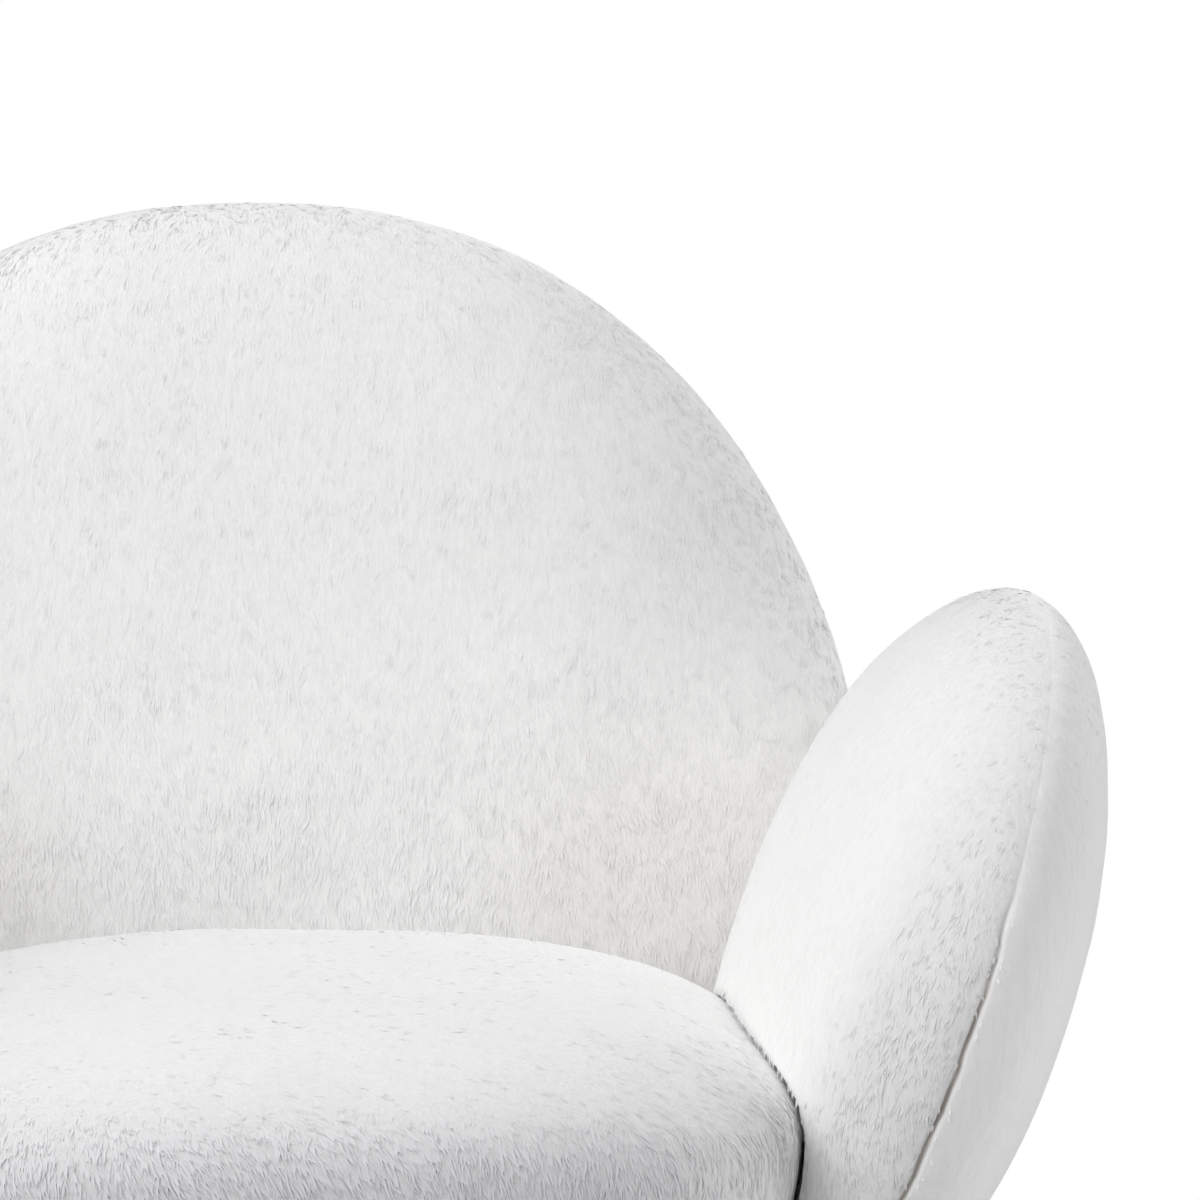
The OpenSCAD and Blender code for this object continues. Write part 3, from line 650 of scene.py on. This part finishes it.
# ---------------------------------------------------------------- fur
def grow_fur(name, v, tris, nrm, rule, uv, mat, seed, cell, leaves, width):
    """Tufts of small curved leaves over a surface. rule gives, for each root, its density, combing direction, length,
    lifts and jitter. uv maps points to texture coordinates.
    """
    rng = np.random.default_rng(seed)
    a, b, c = v[tris[:, 0]], v[tris[:, 1]], v[tris[:, 2]]
    area = np.linalg.norm(np.cross(b - a, c - a), axis=1) / 2
    mid_n = nrm[tris].mean(1)
    amount = area * rule((a + b + c) / 3, mid_n)["density"] / cell
    run = np.cumsum(amount)
    count = int(run[-1])
    at = np.searchsorted(run, (np.arange(count) + rng.random(count)) / count * run[-1] * 0.999999)
    r1, r2 = np.sqrt(rng.random(count)), rng.random(count)
    w = np.stack([1 - r1, r1 * (1 - r2), r1 * r2], 1)
    centre = np.einsum("ij,ijk->ik", w, np.stack([a[at], b[at], c[at]], 1))
    n = np.einsum("ij,ijk->ik", w, nrm[tris[at]])
    n /= np.linalg.norm(n, axis=1, keepdims=True)
    g = rule(centre, n)
    flow = g["flow"] - np.einsum("ij,ij->i", g["flow"], n)[:, None] * n
    flow /= np.maximum(np.linalg.norm(flow, axis=1, keepdims=True), 1e-6)
    across = np.cross(n, flow)
    turn = g["jitter"] * rng.normal(size=count)
    t = np.cos(turn)[:, None] * flow + np.sin(turn)[:, None] * across
    bx = np.cross(n, t)
    length = g["length"] * rng.uniform(0.8, 1.2, count)
    lift1 = g["lift1"] * rng.uniform(0.75, 1.25, count)
    lift2 = g["lift2"] + rng.normal(size=count) * 0.08
    tone = rng.random(count)
    rep = np.repeat(np.arange(count), leaves)
    k = len(rep)
    rad = g["radius"][rep] * np.sqrt(rng.random(k))
    ang = rng.random(k) * 2 * np.pi
    off_t, off_b = rad * np.cos(ang), rad * np.sin(ang)
    small = rng.normal(size=k) * 0.16
    tt = np.cos(small)[:, None] * t[rep] + np.sin(small)[:, None] * bx[rep]
    bb = np.cross(n[rep], tt)
    nn = n[rep]
    ll = (length[rep] * rng.uniform(0.7, 1.2, k))[:, None]
    l1 = (lift1[rep] * rng.uniform(0.85, 1.15, k))[:, None]
    l2 = lift2[rep][:, None]
    sink = g["sink"][rep][:, None] if "sink" in g else 0.0004
    root = centre[rep] + off_t[:, None] * t[rep] + off_b[:, None] * bx[rep] - sink * nn
    mid = root + 0.42 * ll * (np.cos(l1) * tt + np.sin(l1) * nn)
    tip = mid + 0.58 * ll * (np.cos(l2) * tt + np.sin(l2) * nn) - 0.55 * off_b[:, None] * bx[rep]
    half = 0.5 * width * rng.uniform(0.75, 1.25, k)[:, None]
    left, right = mid - half * bb, mid + half * bb
    verts = np.stack([root, left, right, tip], 1).reshape(-1, 3)
    own = g["own"][rep][:, None]
    up1, up2 = np.cos(l1) * nn - np.sin(l1) * tt, np.cos(l2) * nn - np.sin(l2) * tt
    mid_up = (1 - own) * nn + own * 0.5 * (up1 + up2)
    normals = np.stack([(1 - own) * nn + own * up1, mid_up - ROUND * bb, mid_up + ROUND * bb, (1 - own) * nn + own * up2], 1).reshape(-1, 3)
    normals /= np.linalg.norm(normals, axis=1, keepdims=True)
    base = np.arange(k)[:, None] * 4
    loops = np.concatenate([base + [0, 1, 2], base + [1, 3, 2]], 1)
    tips = np.tile(np.array([0.0, 0.45, 0.45, 1.0], np.float32), k)
    tones = np.repeat(tone[rep], 4).astype(np.float32)
    # the rules' painted shade, one colour per leaf corner
    tints = np.repeat(g["tint"][rep], 4, 0).astype(np.float32) if "tint" in g else np.ones((k * 4, 3), np.float32)
    most = 96000
    parts = []
    for p in range(0, k, most):
        q = min(k, p + most)
        vv = verts[p * 4:q * 4]
        lo = (loops[p:q] - p * 4).reshape(-1)
        ob = mesh_object(f"{name}_{len(parts) + 1}", vv, lo, np.full((q - p) * 2, 3), [mat])
        for key, values in (("fur_tip", tips), ("fur_tone", tones)):
            layer = ob.data.attributes.new(key, "FLOAT", "POINT")
            layer.data.foreach_set("value", values[p * 4:q * 4])
        # painted shade from the rules, stored per point for the strand colour
        layer = ob.data.attributes.new("fur_tint", "FLOAT_VECTOR", "POINT")
        layer.data.foreach_set("vector", tints[p * 4:q * 4].ravel())
        give_uv(ob, uv(vv), lo)
        ob.data.normals_split_custom_set_from_vertices(normals[p * 4:q * 4])
        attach(ob, BODY)
        parts.append(ob)
    return parts, k


# ---------------------------------------------------------------- settings
BOUNCE = 0.78
AMBIENT = 0.0
LOBES = [((0, -1, 0), 0.15), ((1, 0, 0), 0.10), ((0.8, 0, -0.6), 0.35)]
LIGHTS = [("key", (-2.3, -2.4, 2.5), 66.5), ("left_high", (-2.4, 0.2, 2.6), 40.0), ("top", (0.0, 0.0, 3.4), 14.0), ("front_top", (0.2, -2.4, 2.8), 19.5),
          ("front", (0.0, -3.4, 1.0), 4.0), ("back_top", (0.2, 2.4, 2.8), 8.0), ("right_back", (2.4, 2.0, 2.2), 17.5), ("right_low", (2.6, 0.2, 0.15), 30.0)]
FUR_ROOT, FUR_MID, FUR_TIP = (0.868, 0.865, 0.860), (0.900, 0.900, 0.903), (0.918, 0.919, 0.926)
# painted shade on the seat's front roll, standing in for the self-shadowing of the opened pile there
ROLL_PAINTED_SHADE = (0.812, 0.807, 0.822)
FUR_DULL = (0.972, 0.969, 0.964)
SKIN = 0.0014  # the backing lies this far inside the outline, the fur fills the rest
START = 0.0070
STRAY = 0.0018
ROUND = 0.10   # how round a tuft looks across its width

make_world()
make_floor()
make_camera()
for name, place, power in LIGHTS:
    area_light(name, place, (0.0, 0.0, 0.45), (2.2, 2.2), power, (0.992, 0.996, 1.0))

BACKING, FUR = fur_backing(), fur_strands()

RECLINE, LEAN = math.radians(12.0), math.radians(20.0)
back_place = Matrix.Translation((0, 0.2262, 0.383)) @ Matrix.Rotation(-RECLINE, 4, "X")
arm_place = Matrix.Translation((0.297, -0.045, 0.442)) @ Matrix.Rotation(LEAN, 4, "Y") @ Matrix.Rotation(math.pi / 2, 4, "Z") @ Matrix.Scale(-1, 4, (0, 1, 0))
mirror = Matrix.Scale(-1, 4, (1, 0, 0))
BACK = Pad(0.328, 0.416, 0.075, 0.078, 2.23, 2.2, 0.030, back_place)
ARM = {"right": Pad(0.210, 0.194, 0.194, 0.075, 2, 2, 0, arm_place), "left": Pad(0.210, 0.194, 0.194, 0.075, 2, 2, 0, mirror @ arm_place)}


def full(x, n):
    return np.full(n, float(x))


WIDE = Waves(11, 0.16)
SWIRL = Waves(12, 0.05)


# Darkens towards a colour by an amount; the fur rules use it to paint shade into the fur colour.
def blend_painted_shade(amount, colour):
    return 1 - amount[:, None] * (1 - np.array(colour))


def back_rule(p, n):
    local = BACK.to_local(p)
    s, rim = BACK.side(local)
    k = len(p)
    front = s < 0
    low = smoothstep(p[:, 2], 0.58, 0.45) * front
    corner = low * smoothstep(np.abs(p[:, 0]), 0.06, 0.20)
    bend = 0.16 * WIDE(p) + 0.10 * SWIRL(p)
    flow = np.stack([np.sin(bend) + 0.10 * low, full(-0.15, k), -np.cos(bend)], 1)
    seam = np.exp(-((s / 0.010) ** 2))
    patch = smoothstep(Waves(13, 0.05)(p * [0.35, 0.35, 1.0]), 0.1, 0.9)
    return {
        "density": np.where(front, 1.0, 0.55) * np.where(p[:, 2] < 0.40, 0.6, 1.0),
        "flow": flow,
        "length": 0.0076 + 0.0014 * low + 0.0003 * WIDE(p) - 0.003 * seam,
        "lift1": 0.108 + 0.04 * low + 0.022 * patch,
        "lift2": -0.03 + 0.02 * low + 0.012 * patch,
        "jitter": 0.12 + 0.08 * low,
        "radius": full(0.0016, k),
        "own": 0.06 + 0.06 * low,
        # painted shade: the low front is darkened with a warm cast for the warm bounce light there, most in the corners
        # by the arms; the upper side rims are darkened for surfaces turning away from the light
        "tint": blend_painted_shade(0.25 * low + 0.75 * corner, (0.990, 0.978, 0.950)) * blend_painted_shade(smoothstep(np.abs(p[:, 0]), 0.10, 0.25) * smoothstep(p[:, 2], 0.50, 0.62), (0.882, 0.882, 0.886)),
    }


def arm_rule(side):
    pad, sign = ARM[side], 1 if side == "right" else -1

    def rule(p, n):
        local = pad.to_local(p)
        s, rim = pad.side(local)
        k = len(p)
        inner = s < 0
        fore = smoothstep(-local[:, 0], -0.06, 0.06)
        wider = smoothstep(p[:, 2], 0.60, 0.46)
        ridge = smoothstep(rim - 0.58 + 0.14 * wider, 0.0, 0.30) * inner * np.maximum(fore, smoothstep(local[:, 2], 0.10, 0.17) * 0.8)
        high = smoothstep(p[:, 2], 0.50, 0.58)
        bend = 0.14 * WIDE(p) + 0.16 * SWIRL(p) * (0.3 + ridge)
        aside = sign * np.where(inner, -0.32, 0.25)
        flow = np.stack([aside + np.sin(bend), -0.14 - 0.10 * ridge, -np.cos(bend)], 1)
        seam = np.exp(-((s / 0.0045) ** 2)) * (1 - high)
        return {
            "density": np.where(inner, 1.0, 0.72) * (np.abs(p[:, 0]) > seat_side(p[:, 1], p[:, 2]) - 0.004),
            "flow": flow,
            "length": 0.0056 + 0.0014 * ridge - 0.0030 * seam + 0.0002 * WIDE(p),
            "lift1": 0.05 + ridge * (1 - seam) * (0.055 - 0.032 * high + 0.034 * wider),
            "lift2": -0.03 + 0.02 * ridge * (1 - seam),
            "jitter": 0.06 + 0.14 * ridge + 0.10 * ridge * high,
            "radius": 0.0012 + 0.0002 * ridge,
            "sink": 0.0004 + 0.00007 * ridge * high,
            "own": 0.02 + 0.04 * ridge,
            # painted shade: the lower inner ridge is darkened for the ridge's shading, and the upper outer face is
            # darkened to even out its light falling brighter at the top
            "tint": blend_painted_shade(np.where(inner, ridge * smoothstep(p[:, 2], 0.66, 0.43) * (0.25 + 0.75 * smoothstep(p[:, 2], 0.31, 0.39)), 0.75 * smoothstep(rim, 1.0, 0.9) * smoothstep(p[:, 2], 0.40, 0.58)), (0.825, 0.823, 0.828)),
        }

    return rule


# ---------------------------------------------------------------- seat cushion
def seat_cage(n, grow):
    th = np.linspace(0, 2 * np.pi, 4001)
    px, py = spow(np.cos(th), 2 / SEAT_P), spow(np.sin(th), 2 / SEAT_P)
    run = np.concatenate([[0], np.cumsum(np.hypot(np.diff(px), np.diff(py)))])
    th = np.interp(np.arange(n) / n * run[-1], run, th)
    rows = []

    def ring(k, kf, z):
        x = k * (SEAT_W + grow) * spow(np.cos(th), 2 / SEAT_P)
        y = SEAT_Y + np.where(np.sin(th) < 0, kf, k) * (SEAT_D + grow) * spow(np.sin(th), 2 / SEAT_P)
        rows.append(np.stack([x, y, np.full(n, z)], 1))

    low = SEAT_LOW + 0.0008
    for k in (0.30, 0.60, 0.78):
        ring(k, k, low)
    for z in (low + 0.004, low + 0.018, low + 0.036, low + 0.054, low + 0.073):
        k = 1 - 0.16 * ((SEAT_Z - z) / (SEAT_Z - SEAT_LOW)) ** 2.2
        ring(k, k, z)
    for phi in np.radians([0, 9, 18, 28, 38, 48, 57, 65, 72, 78, 82, 85, 87.5, 89]):
        rise = math.sin(phi) ** (2 / 2.2)
        ring(math.cos(phi) ** (2 / 2.2), (1 - rise ** SEAT_ROLL) ** (1 / SEAT_ROLL), SEAT_Z + (SEAT_CROWN + grow) * rise)
    ends = [np.array([[0, SEAT_Y, low]]), np.array([[0, SEAT_Y, SEAT_Z + SEAT_CROWN + grow]])]
    v = np.concatenate(rows + ends)
    loops, sizes = grid_faces(len(rows), n, True, True)
    return v, loops, sizes, np.arange(4 * n).tolist() + [len(rows) * n]


def seat_uv(p):
    up = p[:, 2] > 0.330
    ang = np.arctan2(p[:, 1] - SEAT_Y, p[:, 0])
    flat = np.hypot(p[:, 0], p[:, 1] - SEAT_Y) / 0.33
    rad = 0.5 * np.clip(flat, 0, 1) + 0.5 * np.clip((0.460 - p[:, 2]) / 0.16, 0, 1)
    return np.stack([0.5 + 0.49 * rad * np.cos(ang), 0.5 + 0.49 * rad * np.sin(ang)], 1)


def seat_rule(p, n):
    k = len(p)
    top = smoothstep(n[:, 2], 0.35, 0.85)
    bent = (SEAT_Z + SEAT_CROWN - p[:, 2]) + 0.14 * (SEAT_Y - p[:, 1])
    roll = smoothstep(bent, 0.018, 0.082) * smoothstep(n[:, 1], 0.15, -0.25)
    edge = smoothstep(p[:, 0], 0.14, 0.22)
    bend = 0.20 * WIDE(p) + 0.14 * SWIRL(p)
    flow = np.stack([0.42 + bend, -0.55 + 0.1 * SWIRL(p), full(-0.95, k)], 1)
    return {
        "density": np.where(n[:, 2] < -0.6, 0.0, np.where(p[:, 2] < 0.33, 0.7, 1.0)),
        "flow": flow,
        "length": 0.0066 + 0.0026 * roll * (1 - 0.5 * edge) + 0.0008 * WIDE(p),
        "lift1": 0.06 + 0.06 * roll * (1 - 0.6 * edge),
        "lift2": -0.03 + 0.03 * roll * (1 - 0.6 * edge),
        "jitter": 0.09 + 0.08 * roll,
        "radius": 0.0014 + 0.0004 * roll,
        "own": 0.03 + 0.07 * roll * (1 - 0.6 * edge),
        # painted shade: the front roll is darkened, less towards the sides, for the pile's self-shadowing on the bend
        "tint": blend_painted_shade(roll * (1 - smoothstep(np.abs(p[:, 0]), 0.13, 0.23)), ROLL_PAINTED_SHADE),
        "sink": 0.0004 - 0.0001 * roll,
    }


def build_seat(mats):
    v, loops, sizes, pins = seat_cage(112, -START)
    loops = outward(v, loops, sizes)
    flat = v[pins].copy()
    v = puffed("seat_cushion", v, loops, sizes, pins, 0.006, START)
    v[pins] = flat
    v, loops, sizes = subdivided("seat_cushion", v, loops, sizes, 2)
    tris = triangles(loops, sizes)
    nrm = vertex_normals(v, tris)
    soft = Waves(31, 0.15)(v) * 0.0008 + Waves(32, 0.05)(v) * 0.00015
    rise = smoothstep(v[:, 2], SEAT_LOW + 0.004, SEAT_LOW + 0.03)
    v = v + nrm * (soft * rise)[:, None]
    ob = mesh_object("seat_cushion", v, loops, sizes, mats)
    give_uv(ob, seat_uv(v), loops)
    return ob, v, tris, vertex_normals(v, tris)


# ---------------------------------------------------------------- base platform
def build_base(mats):
    n = 220
    th = np.linspace(0, 2 * np.pi, 4001)
    px, py = 0.198 * spow(np.cos(th), 0.5), 0.300 * spow(np.sin(th), 0.5)
    run = np.concatenate([[0], np.cumsum(np.hypot(np.diff(px), np.diff(py)))])
    th = np.interp(np.arange(n) / n * run[-1], run, th)
    rows = []
    for inset, z in ((0.0128, 0.2617), (0.0105, 0.2615), (0.0080, 0.2618), (0.0058, 0.2628), (0.0044, 0.2648), (0.0036, 0.268), (0.0035, 0.272),
                     (0.0035, 0.277), (0.0036, 0.282), (0.0038, 0.287), (0.0044, 0.291), (0.0056, 0.2945), (0.0076, 0.2975), (0.0105, 0.2998),
                     (0.0140, 0.3010), (0.0190, 0.3014), (0.026, 0.3014), (0.036, 0.3014), (0.050, 0.3014), (0.070, 0.3014), (0.100, 0.3014), (0.150, 0.3014)):
        rows.append(np.stack([(0.198 - inset) * spow(np.cos(th), 0.5), -0.008 + (0.300 - inset) * spow(np.sin(th), 0.5), np.full(n, z)], 1))
    v = np.concatenate(rows + [np.array([[0, -0.008, 0.3014]])])
    loops, sizes = grid_faces(len(rows), n, False, True)
    tris = triangles(loops, sizes)
    nrm = vertex_normals(v, tris)
    soft = Waves(51, 0.07)(v) * 0.0006 * smoothstep(v[:, 2], 0.262, 0.268) * (nrm[:, 2] < 0.9)
    v = v + nrm * soft[:, None]
    ob = mesh_object("base_upholstery", v, loops, sizes, mats)
    give_uv(ob, base_uv(v), loops)
    return ob, v, tris, vertex_normals(v, tris)


def base_uv(p):
    ang = np.arctan2(p[:, 1] + 0.008, p[:, 0])
    rad = 0.55 * np.clip(np.maximum(np.abs(p[:, 0]) / 0.198, np.abs(p[:, 1] + 0.008) / 0.300), 0, 1) + 0.45 * np.clip((0.302 - p[:, 2]) / 0.042, 0, 1)
    return np.stack([0.5 + 0.49 * rad * np.cos(ang), 0.5 + 0.49 * rad * np.sin(ang)], 1)


def base_rule(p, n):
    k = len(p)
    wall = smoothstep(n[:, 2], 0.8, 0.3)
    covered = ((p[:, 0] / 0.185) ** 4 + ((p[:, 1] + 0.105) / 0.205) ** 4 < 1) & (n[:, 2] > 0.9)
    flow = np.stack([n[:, 0] * 0.8, n[:, 1] * 0.8, full(-1.0, k)], 1) + 0.12 * SWIRL(p)[:, None]
    return {
        "density": np.where(covered | (n[:, 2] < -0.35), 0.0, np.where(n[:, 2] > 0.9, 0.5, 0.9)),
        "flow": flow,
        "length": 0.0050 + 0.0014 * wall * smoothstep(p[:, 2], 0.266, 0.276),
        "lift1": 0.22 + 0.10 * wall,
        "lift2": full(0.0, k),
        "own": full(0.15, k),
        "jitter": full(0.16, k),
        "radius": full(0.0013, k),
    }


# ---------------------------------------------------------------- build
SPARSE = 1.0
tufts = 0


def furry(ob, v, tris, nrm, rule, uv, seed, cell, leaves, width, nodes):
    global tufts
    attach(ob, BODY)
    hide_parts(*nodes)
    g = rule(v, nrm)
    # painted shade for the backing: one minus the rule's darkening colour
    layer = ob.data.attributes.new("backing_painted_shade", "FLOAT_VECTOR", "POINT")
    layer.data.foreach_set("vector", (1 - g.get("tint", np.ones_like(v))).astype(np.float32).ravel())
    parts, count = grow_fur(ob.name + "_fur", v, tris, nrm, rule, uv, FUR, seed, cell * SPARSE, leaves, width * math.sqrt(SPARSE))
    tufts += count


ob, v, tris, nrm = build_pad("back_pad", BACK, [BACKING], 0.0006, 0.0040, 0.005, 21, 128)
furry(ob, v, tris, nrm, back_rule, lambda p: BACK.uv(BACK.to_local(p)), 101, 9.0e-6, 4, 0.0012,
      ("back_cover_front", "back_cover_rear", "back_foam_front", "back_foam_rear"))
for side in ("right", "left"):
    pad = ARM[side]
    ob, v, tris, nrm = build_pad(side + "_arm_pad", pad, [BACKING], 0.0024, 0.0015, 0.005, 41, pressed=True, seam_top=0.53, shadow=0.9)
    furry(ob, v, tris, nrm, arm_rule(side), lambda p, pad=pad: pad.uv(pad.to_local(p)), 102, 8.0e-6, 4, 0.0011,
          [f"{side}_arm_{x}" for x in ("cover_inner", "cover_outer", "foam_inner", "foam_outer")])
ob, v, tris, nrm = build_seat([BACKING])
furry(ob, v, tris, nrm, seat_rule, seat_uv, 103, 9.0e-6, 4, 0.0012, ("seat_cover", "seat_cushion_foam"))
ob, v, tris, nrm = build_base([BACKING])
furry(ob, v, tris, nrm, base_rule, base_uv, 104, 11.0e-6, 4, 0.0012, ("base_cover", "base_pad"))

# ---------------------------------------------------------------- finishes of the carried-over parts
STEEL, ZINC, BRASS, NYLON, RUBBER, PLY, FOAM, LINING = painted_steel(), zinc(), brass(), nylon(), rubber(), plywood(), foam(), nonwoven()
FINISH = {"black_steel": STEEL, "zinc_steel": ZINC, "insert_brass": BRASS, "bush_nylon": NYLON, "black_rubber": RUBBER,
          "plywood": PLY, "foam": FOAM, "lining": LINING, "fur_fabric": BACKING}
for part in frame["record"]["subparts"]:
    node = frame["nodes"][part["node"]]
    node.data.materials.clear()
    node.data.materials.append(FINISH[part["material_slot"]])
